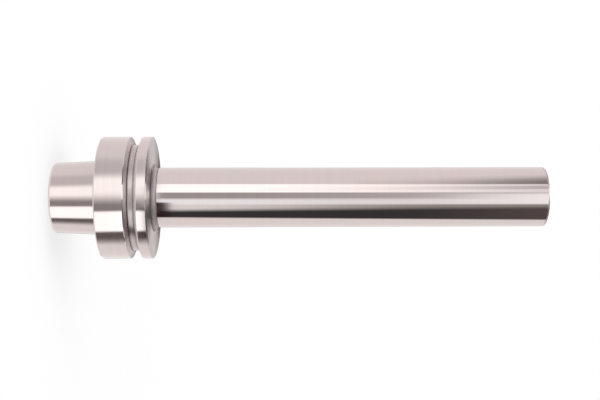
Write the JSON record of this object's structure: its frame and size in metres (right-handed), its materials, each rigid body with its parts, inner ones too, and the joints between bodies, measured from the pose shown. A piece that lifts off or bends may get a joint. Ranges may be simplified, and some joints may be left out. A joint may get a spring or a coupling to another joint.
{
  "type": "test arbor",
  "caption": "Steel test arbor for a machine spindle: hollow taper shank, flange with a gripper groove, and a long plain ground test cylinder.",
  "frame": {"origin": "centre of the small end face of the shank, on which the arbor stands", "axes": "+Z along the arbor's axis, from the shank's end face to the tip of the test cylinder; X and Y are any square pair, because the arbor is round all over"},
  "size_m": [0.063, 0.063, 0.254],
  "materials": {
    "ground_steel": "hardened tool steel, ground bright on the cylinder, satin on the flange and taper"
  },
  "bodies": {
    "root": {"test_arbor": "ground_steel"}
  },
  "joints": []
}
